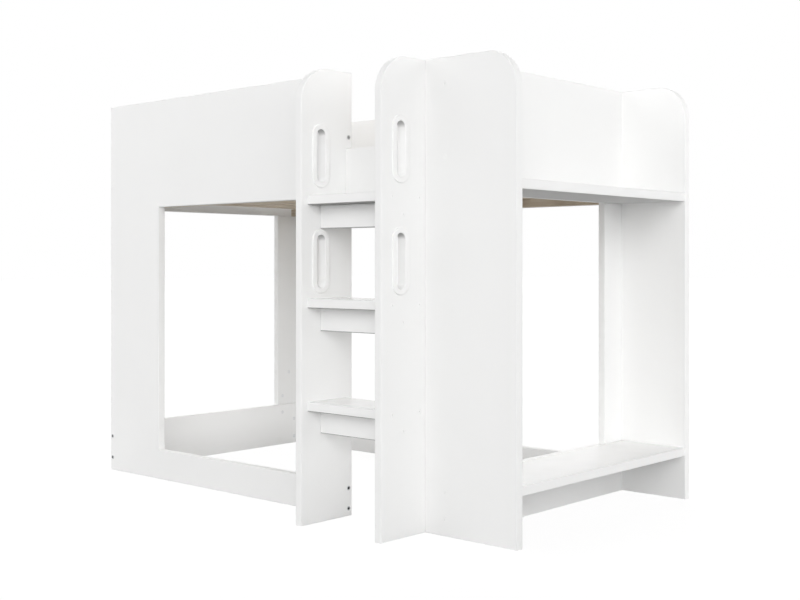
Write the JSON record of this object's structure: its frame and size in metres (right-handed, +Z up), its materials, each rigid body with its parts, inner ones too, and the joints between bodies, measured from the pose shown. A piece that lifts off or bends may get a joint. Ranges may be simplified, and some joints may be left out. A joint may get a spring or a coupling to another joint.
{
  "type": "loft bed",
  "caption": "Low loft bed of white boards with a framed open space below, a ladder with slotted hand grips in front, and an open bookcase at one end.",
  "frame": {"origin": "on the floor, under the centre of the bed's overall box (ladder and bookcase included)", "axes": "+X along the bed towards the bookcase, +Y from the ladder side towards the back, +Z up"},
  "size_m": [1.683, 0.895, 1.15],
  "materials": {
    "white_board": "smooth white satin paint",
    "grip_plastic": "smooth moulded",
    "pine": "planed, unpainted",
    "bolt_white": "white enamel",
    "bolt_steel": "zinc plated"
  },
  "bodies": {
    "root": {"front_panel": "white_board", "front_right_panel": "white_board", "back_panel": "white_board", "back_right_panel": "white_board", "left_end_rail": "white_board", "left_end_panel": "white_board", "left_front_post": "white_board", "left_rear_post": "white_board", "right_end_rail": "white_board", "right_end_panel": "white_board", "right_front_post": "white_board", "right_rear_post": "white_board", "lower_shelf": "white_board", "upper_shelf": "white_board", "left_stringer": "white_board", "right_stringer": "white_board", "lower_tread": "white_board", "lower_tread_rail": "white_board", "middle_tread": "white_board", "middle_tread_rail": "white_board", "upper_tread": "white_board", "upper_tread_rail": "white_board", "entry_rail": "white_board", "left_lower_grip": "grip_plastic", "left_upper_grip": "grip_plastic", "right_lower_grip": "grip_plastic", "right_upper_grip": "grip_plastic", "front_batten": "pine", "rear_batten": "pine", "slat_01": "pine", "slat_02": "pine", "slat_03": "pine", "slat_04": "pine", "slat_05": "pine", "slat_06": "pine", "slat_07": "pine", "slat_08": "pine", "slat_09": "pine", "slat_10": "pine", "slat_11": "pine", "front_right_bolt_1": "bolt_white", "front_right_bolt_2": "bolt_white", "front_right_bolt_3": "bolt_white", "front_right_bolt_4": "bolt_white", "front_left_bolt_1": "bolt_steel", "front_left_bolt_2": "bolt_steel", "front_left_bolt_3": "bolt_white", "stringer_bolt_1": "bolt_steel", "stringer_bolt_2": "bolt_steel", "stringer_bolt_3": "bolt_steel", "step_1_front_bolt": "bolt_white", "step_1_rear_bolt": "bolt_white", "step_1_rail_bolt": "bolt_white", "step_2_front_bolt": "bolt_white", "step_2_rear_bolt": "bolt_white", "step_2_rail_bolt": "bolt_white", "step_3_front_bolt": "bolt_white", "step_3_rear_bolt": "bolt_white", "step_3_rail_bolt": "bolt_white"}
  },
  "joints": []
}
